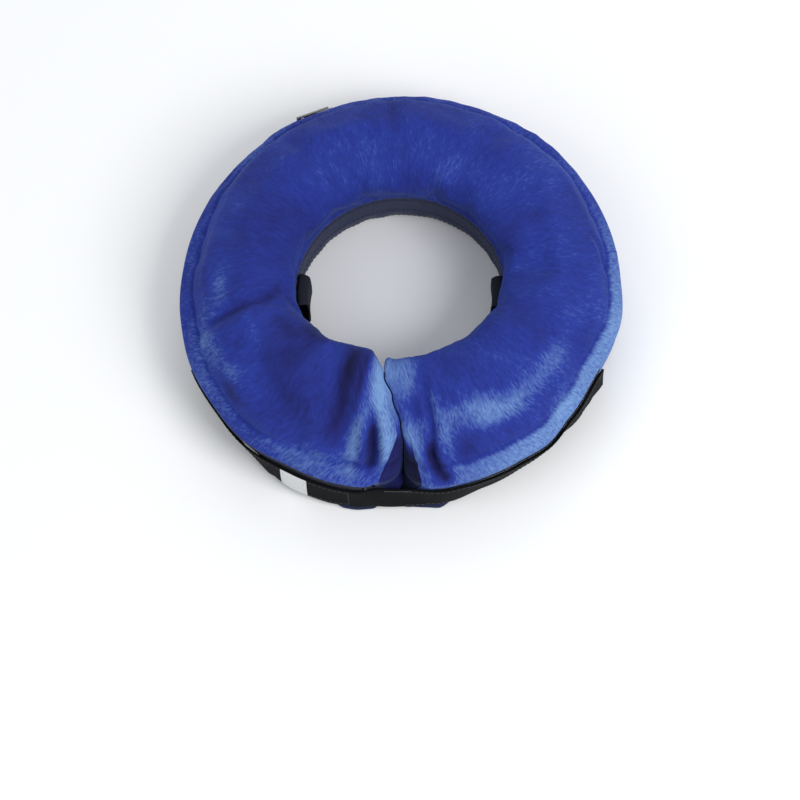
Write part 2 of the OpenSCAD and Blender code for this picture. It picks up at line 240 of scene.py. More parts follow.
def cover_points(fine):
    """Grid of the cover, columns by rows by xyz, with its plan angles."""
    outline, first, run = section(fine)
    plan = column_plan(fine)
    arc, share, side = (plan[:, k][:, None] for k in range(3))
    away = outline - CENTRE
    length = np.linalg.norm(away, axis=1)
    edge = np.where(side < 0, end_round(*outline.T, -1), end_round(*outline.T, 1))
    inset = edge * (1 - np.cos(np.radians(arc)))
    d = np.where(arc > 0, edge * (1 - np.sin(np.radians(arc))), edge + share * (HALF_ROUND - edge))
    r = CENTRE[0] + away[:, 0] * (1 - inset / length)
    z = CENTRE[1] + away[:, 1] * (1 - inset / length)
    x_end = slit_x(r, z) + np.where(side < 0, -end_gap(r, z, -1), end_gap(r, z, 1))
    crowding = np.minimum(d, 18) * (1 / r - 1 / MID_R)
    near = (np.arcsin(x_end / r) + side * crowding) * (1 - smooth(d / 70))
    phi = np.where(side < 0, 270, -90) + np.degrees(side * d / MID_R + near)
    whole = smooth(1 - inset / 12)

    # The wall follows the strap's lean, bellies out round the left and is drawn in under the gusset there
    low = np.clip((STRAP_HIGH - z) / (STRAP_HIGH - STRAP_LOW), 0, 1) * rise(r, 105, 145)
    r = r - low * np.maximum(strap_lean(phi) - LEAN_BASE, -1) * whole
    flare = rise(phi, 138, 160) * fall(phi, 200, 226) * (phi > 90)
    belly = fall(phi, 188, 206) * fall(z, 23, 30) * rise(z, 2, 16)
    r = r + flare * WALL_FLARE * belly * (r > 130)
    r = r - flare * GUSSET_IN * rise(z, 40, 46) * rise(r, 126, 138)
    r = r + plan_shift(phi) * rise(r, 96, 146)

    # The top seam stands out round the left, and the foot of each end bulges out below the strap
    turn = once_round(phi)
    stand = bell(run - run[first["gusset"]], 15) * rise(turn, 120, 150) * fall(turn, 218, 242)
    r, z = r + SEAM_OUT * stand, z - stand
    lobe = rise(turn, 248, 257) * fall(turn, 281, 290) * rise(r, 116, 130) * whole
    r = r + np.where(side < 0, LOBE_LEFT, LOBE_RIGHT) * lobe * smooth((STRAP_LOW + 1 - z) / 4.5)

    # Fullness of the cloth where it turns into the neck in front
    full = ease(turn, NECK_FULL_AT, NECK_FULL) * bell(r - 74, 17) * rise(z, 40, 62)
    r, z = r - full, z + 0.55 * full
    return polar(r, phi, z), phi, first, run, plan


def grid_normals(grid):
    """Outward normals of a grid that is closed along its rows."""
    along = np.gradient(grid, axis=0)
    across = np.roll(grid, -1, axis=1) - np.roll(grid, 1, axis=1)
    n = np.cross(along, across)
    return n / (np.linalg.norm(n, axis=2, keepdims=True) + 1e-9)


# ---- mesh making
def corners(mesh):
    """The point at each corner of each face."""
    index = np.zeros(len(mesh.loops), np.int32)
    mesh.loops.foreach_get("vertex_index", index)
    return index


def link(name, verts, faces, material, uv=None):
    """Smooth mesh object from points, and a pair of pattern coordinates for each, in millimetres."""
    mesh = bpy.data.meshes.new(name)
    points = np.asarray(verts, float).reshape(-1, 3) * MM
    mesh.from_pydata(points.tolist(), [], [tuple(int(k) for k in f) for f in faces])
    if uv is not None:
        spread = np.asarray(uv, np.float32).reshape(-1, 2)[corners(mesh)] / 100
        mesh.uv_layers.new(name="UVMap").data.foreach_set("uv", spread.ravel())
    mesh.shade_smooth()
    if material is not None:
        mesh.materials.append(material)
    obj = bpy.data.objects.new(name, mesh)
    bpy.context.scene.collection.objects.link(obj)
    return obj


def grid_faces(cols, rows, wrap=False):
    """Quads of a grid whose points are numbered column by column, turned outward."""
    faces = []
    for i in range(cols - 1):
        for j in range(rows if wrap else rows - 1):
            k = (j + 1) % rows
            faces.append((i * rows + j, (i + 1) * rows + j, (i + 1) * rows + k, i * rows + k))
    return faces


def shell(name, points, normals, faces, thickness, material, uv=None, painted_sheen_shade=None):
    """Closed piece of cloth: outer faces, the same faces inside, and rims along every open edge."""
    used = np.unique([k for f in faces for k in f])
    new_index = {int(k): i for i, k in enumerate(used)}
    faces = [tuple(new_index[k] for k in f) for f in faces]
    points, normals = (np.asarray(field, float).reshape(-1, 3)[used] for field in (points, normals))
    n = len(points)
    directed = {(f[i - 1], f[i]) for f in faces for i in range(len(f))}
    rim = sorted((a, b) for a, b in directed if (b, a) not in directed)
    inner = [tuple(k + n for k in f[::-1]) for f in faces]
    rim_faces = [(a, a + n, b + n, b) for a, b in rim]
    both_uv = None if uv is None else np.vstack([np.asarray(uv, float).reshape(-1, 2)[used]] * 2)
    both_sides = np.vstack([points, points - normals * thickness])
    obj = link(name, both_sides, faces + inner + rim_faces, material, both_uv)
    mesh = obj.data
    # Painted sheen and painted shade of the pile, kept per point for the plush look
    if painted_sheen_shade is not None:
        values = np.asarray(painted_sheen_shade, float).ravel()[used]
        layer = mesh.attributes.new("painted_sheen_shade", "FLOAT", "POINT")
        layer.data.foreach_set("value", np.r_[values, values].astype(np.float32))
    custom = np.vstack([normals, -normals])[corners(mesh)]
    flat = np.zeros(len(mesh.polygons) * 3, np.float32)
    mesh.polygons.foreach_get("normal", flat)
    flat = flat.reshape(-1, 3)
    start = sum(len(f) for f in faces) * 2
    custom[start:] = np.repeat(flat[len(faces) * 2:], 4, axis=0)
    mesh.normals_split_custom_set(custom.tolist())
    return obj


# ---- cloth simulation of the cover
CLOTH = {"quality": 5, "mass": 0.15, "tension_stiffness": 12, "compression_stiffness": 12,
         "shear_stiffness": 4, "bending_stiffness": 0.25, "use_pressure": True,
         "uniform_pressure_force": 4, "shrink_min": -0.045, "vertex_group_mass": "pin"}
LAST_FRAME = 20
CAP_STEP, CAP_MOST = 1.1, 7.0  # most that a point may move, for each row from the nearest seam and in all


def evened(field, axis):
    """Each value averaged with its two neighbours along a closed axis."""
    return (np.roll(field, 1, axis=axis) + 2 * field + np.roll(field, -1, axis=axis)) / 4


def simulate(grid, first):
    """Blows the cover up between its seams and returns how far each point moved, capped."""
    cols, rows = grid.shape[:2]
    verts = grid.reshape(-1, 3)
    faces = grid_faces(cols, rows, wrap=True)
    centre_a, centre_b = len(verts), len(verts) + 1
    verts = np.vstack([verts, grid[0].mean(0), grid[-1].mean(0)])
    for j in range(rows):
        k = (j + 1) % rows
        faces.append((centre_a, j, k))
        faces.append((centre_b, (cols - 1) * rows + k, (cols - 1) * rows + j))
    obj = link("cover_sim", verts, faces, None)
    pin = np.zeros((cols, rows))
    pin[:, first["band"]:] = 1
    pin[:, :first["top"] + 2] = 1
    pin[:, first["gusset"]] = 1
    pin[:EDGE_COLS] = 1
    pin[-EDGE_COLS:] = 1
    group = obj.vertex_groups.new(name="pin")
    fixed = np.flatnonzero(pin.ravel() > 0.5).tolist() + [centre_a, centre_b]
    group.add([int(i) for i in fixed], 1.0, "REPLACE")
    cloth = obj.modifiers.new("Cloth", "CLOTH")
    for key, value in CLOTH.items():
        setattr(cloth.settings, key, value)
    cloth.settings.effector_weights.gravity = 0
    cloth.collision_settings.use_collision = False
    cloth.collision_settings.use_self_collision = False
    scene = bpy.context.scene
    for f in range(1, LAST_FRAME + 1):
        scene.frame_set(f)
    done = obj.evaluated_get(bpy.context.evaluated_depsgraph_get())
    co = np.zeros(len(done.data.vertices) * 3)
    done.data.vertices.foreach_get("co", co)
    moved = co.reshape(-1, 3)[:-2] / MM - grid.reshape(-1, 3)
    scene.frame_set(1)
    bpy.data.objects.remove(obj)
    length = np.linalg.norm(moved, axis=1, keepdims=True)
    row = np.arange(rows)
    from_seam = np.minimum(np.abs(row - first["top"] - 1), np.abs(row - first["gusset"]))
    cap = np.tile(np.minimum(CAP_STEP * from_seam, CAP_MOST), cols)[:, None]
    moved *= np.where(length > cap, cap / np.maximum(length, 1e-9), 1)
    moved = moved.reshape(cols, rows, 3)
    for _ in range(2):
        moved[1:-1] = (moved[:-2] + 2 * moved[1:-1] + moved[2:]) / 4
        moved = evened(moved, 1)
    return moved


def refine(field):
    """Doubles a field over the grid: columns are open, rows closed."""
    cols, rows = field.shape[:2]
    wide = np.zeros((cols, rows * 2) + field.shape[2:])
    wide[:, ::2] = field
    before, after = np.roll(field, 1, axis=1), np.roll(field, -1, axis=1)
    wide[:, 1::2] = (9 * (field + after) - (before + np.roll(field, -2, axis=1))) / 16
    out = np.zeros((cols * 2 - 1, rows * 2) + field.shape[2:])
    out[::2] = wide
    out[1::2] = (wide[:-1] + wide[1:]) / 2
    return out


# ---- materials
class Look:
    """A procedural material under construction."""

    def __init__(self, name, colour, roughness, metallic=0.0, specular=0.3):
        self.material = bpy.data.materials.new(name)
        self.material.use_nodes = True
        self.tree = self.material.node_tree
        self.base = self.tree.nodes["Principled BSDF"]
        self.set(self.base, {"Base Color": (*colour, 1), "Roughness": roughness, "Metallic": metallic,
                             "Specular IOR Level": specular})

    def set(self, node, values):
        for key, value in values.items():
            node.inputs[key].default_value = value

    def link(self, out, into):
        self.tree.links.new(out, into)

    def add(self, kind, out, values, links, **settings):
        """New node with those input values and links; gives its named output."""
        node = self.tree.nodes.new("ShaderNode" + kind)
        for key, value in settings.items():
            setattr(node, key, value)
        self.set(node, values)
        for key, value in links.items():
            self.link(value, node.inputs[key])
        return node.outputs[out]

    def coords(self, scale, kind):
        place = self.add("TexCoord", kind, {}, {})
        return self.add("Mapping", "Vector", {"Scale": scale}, {"Vector": place})

    def noise(self, scale, detail=3.0, rough=0.55, kind="UV"):
        return self.add("TexNoise", "Fac", {"Scale": 1.0, "Detail": detail, "Roughness": rough},
                        {"Vector": self.coords(scale, kind)})

    def wave(self, scale, direction):
        return self.add("TexWave", "Fac", {"Scale": 1.0, "Distortion": 0.0},
                        {"Vector": self.coords(scale, "UV")}, bands_direction=direction)

    def attribute(self, name):
        return self.add("Attribute", "Fac", {}, {}, attribute_name=name)

    def math(self, kind, a, b):
        fixed = {k: v for k, v in enumerate((a, b)) if isinstance(v, (int, float))}
        linked = {k: v for k, v in enumerate((a, b)) if k not in fixed}
        return self.add("Math", 0, fixed, linked, operation=kind)

    def spread(self, value, low, high, to_low=0.0, to_high=1.0):
        return self.add("MapRange", "Result", {"From Min": low, "From Max": high, "To Min": to_low,
                                               "To Max": to_high}, {"Value": value})

    def colours(self, value, *stops):
        """Colours the surface by a value, through (place, colour) stops."""
        node = self.tree.nodes.new("ShaderNodeValToRGB")
        ramp = node.color_ramp
        while len(ramp.elements) < len(stops):
            ramp.elements.new(0.5)
        for element, (at, colour) in zip(ramp.elements, stops):
            element.position = at
            element.color = (*colour, 1)
        self.link(value, node.inputs["Fac"])
        self.link(node.outputs["Color"], self.base.inputs["Base Color"])

    def bump(self, height, strength, distance_mm):
        """Roughens the surface by a height; gives the finished material."""
        self.link(self.add("Bump", "Normal", {"Strength": strength, "Distance": distance_mm * MM},
                           {"Height": height}), self.base.inputs["Normal"])
        return self.material


def times(colour, factor):
    return tuple(min(1, factor * c) for c in colour)


# A wave texture at scale 1 has one band in this share of a unit
BAND = 0.314
# Plush colours: painted shade, the pile's darker blue (also reached by painted shade), its own mid blue,
# and painted sheen
PAINTED_SHADE_BLUE = (0.004, 0.004, 0.02)
DEEP_BLUE = (0.012, 0.013, 0.10)
MID_BLUE = (0.020, 0.037, 0.265)
PAINTED_SHEEN_BLUE = (0.165, 0.29, 0.54)


def plush_look():
    look = Look("plush", MID_BLUE, 0.85, specular=0.1)
    look.set(look.base, {"Sheen Weight": 0.14, "Sheen Roughness": 0.45,
                         "Sheen Tint": (0.35, 0.55, 1.0, 1)})
    streaks = look.noise((95, 24, 1), detail=4, rough=0.6)
    strokes = look.noise((38, 9, 1), detail=3, rough=0.5)
    patches = look.noise((3.2, 2.2, 1), detail=2)
    tone = look.math("ADD", look.spread(streaks, 0.25, 0.75, -0.11, 0.11),
                     look.spread(patches, 0.3, 0.7, -0.06, 0.08))
    tone = look.math("ADD", tone, look.spread(strokes, 0.3, 0.7, -0.05, 0.05))
    # Painted sheen where the pile catches the light and painted shade in hollows, from a per-point
    # attribute, broken up by the streaks
    sheen = look.math("MULTIPLY", look.attribute("painted_sheen_shade"), look.spread(streaks, 0.3, 0.7, 0.75, 1.25))
    tone = look.math("ADD", look.math("ADD", tone, 0.42), sheen)
    # Ramp from painted shade through the pile's own blues to painted sheen
    look.colours(tone, (0.0, PAINTED_SHADE_BLUE), (0.18, DEEP_BLUE), (0.48, MID_BLUE), (1.0, PAINTED_SHEEN_BLUE))
    fine = look.noise((130, 42, 1), detail=4, rough=0.65)
    return look.bump(look.math("ADD", fine, look.math("MULTIPLY", streaks, 0.8)), 0.6, 1.0)


def weave_look(name, colour, per_uv, roughness=0.8, strength=0.5, depth_mm=0.25):
    """Plain woven cloth, with per_uv threads in each 100 mm."""
    look = Look(name, colour, roughness, specular=0.25)
    look.set(look.base, {"Sheen Weight": 0.1, "Sheen Roughness": 0.5})
    per_band = per_uv * BAND
    threads = look.math("MAXIMUM", look.wave((per_band, 1, 1), "X"), look.wave((1, per_band, 1), "Y"))
    mottled = look.math("ADD", look.math("MULTIPLY", threads, 0.6),
                        look.noise((per_uv, per_uv, 1), detail=2))
    look.colours(look.spread(mottled, 0.5, 1.2), (0, times(colour, 0.7)), (1, times(colour, 1.35)))
    return look.bump(mottled, strength, depth_mm)


def webbing_look(name, colour, ribs_per_uv):
    """Ribbed strap webbing: the ribs run across the strap."""
    look = Look(name, colour, 0.75, specular=0.09)
    ribs = look.wave((ribs_per_uv * BAND, 1, 1), "X")
    cords = look.wave((1, ribs_per_uv * BAND * 0.6, 1), "Y")
    height = look.math("ADD", look.math("MULTIPLY", ribs, 0.8),
                       look.math("ADD", look.math("MULTIPLY", cords, 0.5), look.noise((120, 40, 1))))
    look.colours(look.spread(height, 0.5, 1.7), (0, times(colour, 0.65)), (1, times(colour, 1.6)))
    return look.bump(height, 0.5, 0.25)


def fuzz_look(name, colour, scale):
    look = Look(name, colour, 0.95, specular=0.1)
    look.set(look.base, {"Sheen Weight": 0.5, "Sheen Roughness": 0.4})
    return look.bump(look.noise((scale, scale, 1), detail=5, rough=0.7), 0.9, 1.2)


def metal_look(name, colour, roughness):
    look = Look(name, colour, roughness, metallic=1.0, specular=0.5)
    return look.bump(look.noise((600, 600, 600), detail=2, kind="Object"), 0.12, 0.05)


def vinyl_look(name, colour, transmission):
    look = Look(name, colour, 0.25, specular=0.5)
    look.set(look.base, {"Transmission Weight": transmission, "IOR": 1.5})
    return look.bump(look.noise((90, 90, 90), detail=2, kind="Object"), 0.1, 0.3)


PLUSH = plush_look()
CANVAS = weave_look("canvas", (0.009, 0.015, 0.05), 130)
WEBBING = webbing_look("strap_webbing", (0.0022, 0.0024, 0.003), 85)
LOOP_WEBBING = webbing_look("loop_webbing", (0.012, 0.014, 0.02), 85)
TAPE = weave_look("zipper_tape", (0.010, 0.011, 0.014), 160, depth_mm=0.12)
COIL = Look("zipper_coil", (0.02, 0.021, 0.025), 0.4, specular=0.5).material
THREAD = Look("thread", (0.012, 0.018, 0.045), 0.7).material
STRAP_THREAD = Look("strap_thread", (0.045, 0.05, 0.055), 0.6).material
PALE_THREAD = Look("pale_thread", (0.20, 0.22, 0.22), 0.7).material
LABEL = weave_look("label_tape", (0.56, 0.57, 0.57), 220, roughness=0.55, strength=0.25, depth_mm=0.08)
LABEL_THREAD = Look("label_thread", (0.55, 0.57, 0.56), 0.6).material
LOOP_FUZZ = fuzz_look("loop_tape", (0.010, 0.011, 0.016), 90)
HOOK_FUZZ = fuzz_look("hook_tape", (0.012, 0.012, 0.014), 140)
BINDING = weave_look("binding_tape", (0.010, 0.011, 0.015), 150, depth_mm=0.12)
METAL = metal_look("zipper_metal", (0.20, 0.20, 0.21), 0.38)
STOP = metal_look("zipper_stop", (0.05, 0.05, 0.055), 0.45)
VINYL = vinyl_look("valve_vinyl", (0.75, 0.79, 0.82), 0.35)
FILM = vinyl_look("bladder_film", (0.62, 0.7, 0.78), 0.25)


# ---- folds of the cover
FINE = 2
grid, phi, first, run, plan = cover_points(FINE)
cols, rows = grid.shape[:2]
rad = np.hypot(grid[:, :, 0], grid[:, :, 1])
RUN = np.broadcast_to(run[None, :], rad.shape)
Q_RUN = [run[first[k]] for k in ("top", "gusset", "band", "base")]


def run_of(q):
    """Distance along the section: q is 0 at the neck seam, 1 top seam, 2 plush edge, 3 low seam."""
    return np.interp(q, [0, 1, 2, 3], Q_RUN)


def offset_to(phi0, q0):
    """Distance in mm round the ring and along the section, from a place to every grid point."""
    return np.radians((phi - phi0 + 180) % 360 - 180) * rad, RUN - run_of(q0)


def crease(places, depth, width, ridge=0.35):
    """Height of a fold line. places are (angle, q, share of the depth there)."""
    best, share = np.full(rad.shape, 1e9), np.zeros(rad.shape)
    for (p0, q0, w0), (p1, q1, w1) in zip(places, places[1:]):
        ax, ay = offset_to(p0, q0)
        bx, by = np.radians(p1 - p0) * rad, run_of(q1) - run_of(q0)
        t = np.clip((ax * bx + ay * by) / (bx * bx + by * by), 0, 1)
        dist = np.hypot(ax - t * bx, ay - t * by)
        closer = dist < best
        best = np.where(closer, dist, best)
        share = np.where(closer, w0 + (w1 - w0) * t, share)
    return depth * share * (ridge * bell(best - 2.2 * width, width) - bell(best, width))


def blob(phi0, q0, round_mm, along_mm):
    ax, ay = offset_to(phi0, q0)
    return bell(ax, round_mm) * bell(ay, along_mm)


FOLDS = (
    # places, depth, width, ridge
    (((231, .25, 0), (242.5, .45, .8), (249.3, .64, 1), (252.6, .77, 1), (254.5, .87, .8),
      (255.0, .97, .2)), 7.0, 9.5, 0.25),
    (((260.6, .56, 0), (262.2, .68, .5), (263.2, .80, 1), (264.0, .92, 1.1), (264.0, 1.02, .8),
      (264.2, 1.4, .2)), 6.0, 3.3, 0.45),
    (((255, .975, .1), (258, .99, .9), (262.0, .985, .6)), 2.6, 3.0, 0.3),
    (((186, .34, 0), (193.3, .36, .6), (197.8, .48, .8), (198, .64, 1), (198, .83, 1), (197.5, .97, .3)),
     3.2, 4.5, 0.3),
    (((206, .60, 0), (214, .66, .8), (225, .72, 1), (238, .80, .5), (243, .86, 0)), 4.2, 8.0, 0.3),
    (((222, .15, 0), (228, .3, .8), (236, .42, .6), (240, .5, 0)), 2.6, 9.0, 0.2),
    (((282.2, .40, 0), (282.6, .54, .7), (283.2, .66, 1), (282.6, .80, 1), (281.4, .93, .8),
      (281.2, 1.1, .3)), 3.2, 2.4, 0.5),
    (((280.8, .82, 0), (281.0, .93, 1), (282.0, 1.1, 1), (283.2, 1.6, .7), (283.4, 2, .2)), 4.6, 3.2, 0.3),
    (((277.2, .50, 0), (277.6, .62, .8), (277.2, .72, .6), (277, .8, 0)), 1.6, 5.0, 0.3),
    (((292, .60, 0), (297, .70, .8), (305, .74, .9), (318, .72, 0)), 3.0, 8.0, 0.3),
    (((14, .82, 0), (10, .89, .9), (5, .96, .8), (3, 1, .2)), 1.8, 3.0, 0.4),
    (((340, .35, 0), (336, .5, .6), (333, .7, .6), (333, .85, 0)), 2.2, 9.0, 0.3),
    (((165, .3, 0), (168, .5, .7), (166, .75, .8), (165, .95, .2)), 2.2, 6.0, 0.3),
    (((130, .25, 0), (127, .5, .7), (129, .8, .9), (130, .98, .3)), 2.4, 6.0, 0.3),
    (((62, .3, 0), (60, .5, .7), (57, .75, .9), (57, .96, .3)), 2.4, 6.5, 0.3),
    (((95, .4, 0), (93, .6, .6), (94, .8, .9), (94, .98, .4)), 2.2, 5.0, 0.4),
    (((30, .3, 0), (33, .55, .6), (31, .8, .6), (30, .95, 0)), 1.6, 8.0, 0.3),
)
# Patches of painted sheen where the pile catches the light, and of painted shade in hollows and puckers
PAINTED_SHEEN_SHADE_PATCHES = (
    # angle, q, reach round the ring and along the section in mm, strength (painted sheen if positive,
    # painted shade if negative)
    (206, .86, 20, 8, 0.12), (214, .87, 14, 8, 0.1), (201, .95, 12, 9, 0.2), (209, .62, 12, 6, 0.12),
    (188, .74, 15, 8, 0.16), (222, .30, 12, 14, -0.28), (214, .45, 14, 5, -0.1), (170, .5, 60, 40, -0.08),
    (218, .93, 12, 5, -0.2), (226, .56, 26, 16, -0.14), (240, .74, 24, 16, -0.1), (251, .72, 7, 26, -0.26),
    (249.5, .42, 7, 16, -0.26), (257.6, .86, 5, 21, 0.42), (236, .92, 18, 9, -0.04),
    (251, .97, 12, 7, 0.16), (256.0, .46, 2.6, 28, -0.22), (262.8, .42, 6, 24, 0.33),
    (264.6, .58, 7, 22, 0.36), (267.2, .76, 8, 20, 0.33), (268.4, .9, 7, 12, 0.27),
    (263.0, .86, 3, 17, -0.5), (275, .44, 9, 16, 0.3), (275.5, .84, 8, 18, 0.34), (276.5, .64, 8, 8, -0.1),
    (281.2, .95, 3.5, 9, -0.5), (283.2, 1.5, 6, 7, -0.4), (286.5, .84, 7, 18, 0.3),
    (284.6, .60, 4, 10, 0.16), (296.2, .70, 18, 6, 0.2), (301, .78, 16, 8, 0.31), (309, .79, 14, 7, 0.2),
    (291, .90, 14, 10, -0.14), (325, .78, 26, 9, 0.15), (322, 1.05, 16, 10, 0.14),
    (330, .5, 50, 24, -0.02), (225, 1.3, 50, 8, 0.06), (255, 1.6, 30, 8, 0.1),
)

fold = np.zeros(rad.shape)
# Depth of the narrow creases, also used for the painted shade in them
crease_shade_depth = np.zeros(rad.shape)
for places, depth, width, ridge in FOLDS:
    fold += crease(places, depth, width, ridge)
    if width < 6:
        crease_shade_depth += crease(places, depth, width * 0.7, 0)

to_seam = {key: np.abs(RUN - run[first[key]]) for key in ("gusset", "base")}
to_neck = np.abs(RUN - Q_RUN[0] - 2)
around = np.radians(phi) * MID_R
past_neck = RUN - Q_RUN[0]
before_band = run[first["band"]] - RUN

# A bead and a groove where the end panel is sewn in, on the outer side of each end
edge_col = EDGE_COLS * FINE
col = np.arange(cols)
bead = bell(col - edge_col - 1, 1.6) + bell(col[::-1] - edge_col - 1, 1.6)
groove = bell(col - edge_col + 2, 1.0) + bell(col[::-1] - edge_col + 2, 1.0)
fold += (0.7 * bead - 0.8 * groove)[:, None] * rise(rad, 112, 132) * (RUN > Q_RUN[0])

# Uneven filling of the top, puckers and a groove at each seam, and the uneven nap
soft = rise(past_neck, 6, 28) * smooth(before_band / 7)
fold += soft * 1.3 * ripple(around, RUN, 3, 110, 70)
fold += soft * 0.35 * ripple(around, RUN, 5, 26, 34)
pucker = np.maximum(ripple(around, RUN * 0.15, 11, 21, 60), -0.2)
fold -= smooth(past_neck / 20) * 1.1 * pucker * bell(to_seam["gusset"], 9) * (RUN < Q_RUN[2])
fold -= 1.5 * bell(to_seam["gusset"], 2.0)
fold -= 0.9 * bell(to_neck, 1.8)
fold -= 0.5 * np.maximum(ripple(around, RUN * 0.2, 13, 17, 40), 0) * bell(to_neck, 12)
low_pucker = 0.8 * np.maximum(ripple(around, RUN * 0.2, 17, 15, 40), -0.3) * bell(to_seam["base"], 8)
fold -= (RUN >= run[first["wall"]]) * (0.8 * bell(to_seam["base"], 1.6) + low_pucker)
fold += smooth((RUN - run[first["base"]] - 4) / 10) * 0.6 * ripple(around, RUN, 23, 40, 30)
nap = np.where((past_neck >= 0) & (before_band >= 0), 0.16 * ripple(around, RUN, 31, 7, 13, count=24), 0)
fold += nap * smooth(before_band / 3)

# Painted sheen where the pile catches the light, most on the gusset of the right half, and painted shade in
# hollows, puckers and creases
painted_sheen_shade = np.zeros(rad.shape)
for a0, q0, reach_round, reach_along, strength in PAINTED_SHEEN_SHADE_PATCHES:
    painted_sheen_shade += strength * blob(a0, q0, reach_round, reach_along)
# Painted sheen on the gusset of the right half, which faces the key lamp, and a little elsewhere
sheen_side = 0.85 * smooth((np.cos(np.radians(phi - 330)) - 0.5) / 0.5)
on_gusset = smooth((RUN - Q_RUN[1]) / 4)
painted_sheen_shade += on_gusset * (0.42 * sheen_side * (RUN < Q_RUN[3] + 3) + 0.05 * (1 - sheen_side))
# Painted shade in the narrow creases, no darker than a set floor
painted_sheen_shade = np.maximum(painted_sheen_shade + 0.05 * np.clip(crease_shade_depth, -5, 0), -0.3)

fold *= smooth((np.minimum(col, col[::-1]) - 1) / (edge_col - 3))[:, None]
drape = np.zeros(grid.shape)
coarse, _, coarse_first, _, _ = cover_points(1)
drape = refine(simulate(coarse, coarse_first))
outward = grid_normals(grid)
grid = grid + drape * smooth(before_band / 4)[:, :, None] + outward * fold[:, :, None]
grid[:, :, 2] = np.maximum(grid[:, :, 2], 0)
outward = grid_normals(grid)
SIDE, ANGLE = plan[:, 2], plan[:, 3]
from_left = HALF_ROUND + SIDE * (HALF_ROUND - plan[:, 4])
UV = np.stack([np.broadcast_to(from_left[:, None], rad.shape), RUN], 2)

# ---- pieces of the cover
LEFT_CUT = int(np.argmin(np.where(SIDE < 0, np.abs(ANGLE - SPLIT_LEFT), 1e9)))
BACK_CUT = int(np.argmax(plan[:, 4]))
RIGHT_CUT = int(np.argmin(np.where(SIDE > 0, np.abs(ANGLE - SPLIT_RIGHT), 1e9)))
CAP_COLS = edge_col - 2
PARTS = {"left": (CAP_COLS, LEFT_CUT), "back": (LEFT_CUT, RIGHT_CUT),
         "right": (RIGHT_CUT, cols - 1 - CAP_COLS)}
# Each part of the ring and its CAD nodes, with a star for the start of their names
EACH_PART = (("left", "*left"), ("right", "*right"), ("back", "*left *right"))
BACK_LEFT, BACK_RIGHT = (LEFT_CUT, BACK_CUT), (BACK_CUT, RIGHT_CUT)
PLUSH_T, CANVAS_T = 2.2, 1.0
VALVE = (box_mm("valve_stem")[0] + box_mm("valve_stem")[1])[:2] / 2
PORT_OUT = (box_mm("port_binding")[1] - box_mm("port_binding")[0])[0] / 2
PORT_IN = PORT_OUT - 2


def attach(obj, part):
    """Joins a piece of the cover, or something sewn to it, to its half of the collar; a piece of the back
    is only fixed in place.
    """
    if part == "back":
        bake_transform(obj)
    else:
        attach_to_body(obj, part + "_half")


def stands_for(obj, nodes, part=None):
    """Hides the CAD nodes that a piece is shown for, and joins it to a part, if one is named."""
    if part is not None:
        attach(obj, part)
    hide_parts(*nodes.split())


def cut_port(faces, points):
    """Leaves out the faces over the valve port and rounds the edge of the hole."""
    hole = PORT_OUT - 1
    away = points[:, :2] - VALVE
    dist = np.linalg.norm(away, axis=1)
    low = points[:, 2] < 6
    inside = {f for f in faces if low[f[0]] and dist[list(f)].mean() < hole}
    kept = [f for f in faces if f not in inside]
    edge = np.array(sorted({k for f in inside for k in f} & {k for f in kept for k in f}))
    points[edge, :2] = VALVE + away[edge] / dist[edge][:, None] * hole
    return kept, points


def cover_piece(name, span, nodes, part, columns=None):
    """One sewn panel of the cover, between two rows that are named by the stretches of its section."""
    c0, c1 = columns or PARTS[part]
    here = slice(c0, c1 + 1)
    row_from, row_to = (first[key] for key in span.split())
    row_ids = np.arange(row_from, row_to + 1) % rows
    uv = UV[here][:, row_ids].copy()
    if row_to == rows:
        uv[:, -1, 1] = run[-1] + 2
    faces, points = grid_faces(c1 - c0 + 1, len(row_ids)), grid[here][:, row_ids].reshape(-1, 3)
    if name == "canvas_base_left":
        faces, points = cut_port(faces, points)
    kind = "plush" if name.startswith("plush") else "canvas"
    cloth = (PLUSH_T, PLUSH) if kind == "plush" else (CANVAS_T, CANVAS)
    obj = shell(name, points, outward[here][:, row_ids], faces, *cloth, uv, painted_sheen_shade[here][:, row_ids])
    stands_for(obj, nodes, part)


PANELS = (
    # piece, first and last row, node, then either its part and columns, or none where each part has one
    ("plush_top_{}", "top gusset", "top_panel_"),
    ("plush_gusset_left", "gusset band", "outer_gusset_left", "left"),
    ("plush_gusset_right", "gusset base", "outer_gusset_right", "right"),
    ("plush_gusset_back_left", "gusset band", "outer_gusset_left", "back", BACK_LEFT),
    ("plush_gusset_back_right", "gusset base", "outer_gusset_right", "back", BACK_RIGHT),
    ("canvas_wall_left", "wall base", "lower_wall_left", "left"),
    ("canvas_wall_back", "wall base", "lower_wall_left", "back", BACK_LEFT),
    ("canvas_base_{}", "base facing", "bottom_panel_"),
    ("neck_facing_{}_canvas", "facing end", "neck_facing_"),
    ("neck_wall_{}", "neck top", "inner_gusset_"),
)
for name, span, node, *where in PANELS:
    if where:
        cover_piece(name, span, node, *where)
    else:
        for part, nodes in EACH_PART:
            cover_piece(name.format(part), span, nodes.replace("*", node), part)


END_RINGS = (0.9, 0.76, 0.6, 0.42, 0.22, 0.06)  # rings of the disc, as shares of its rim
END_DARK = {-1: -0.30, 1: -0.45}  # darkening of the pile of each end, in its own shadow
END_PASSES = 80  # times that the rim is evened for the inner rings


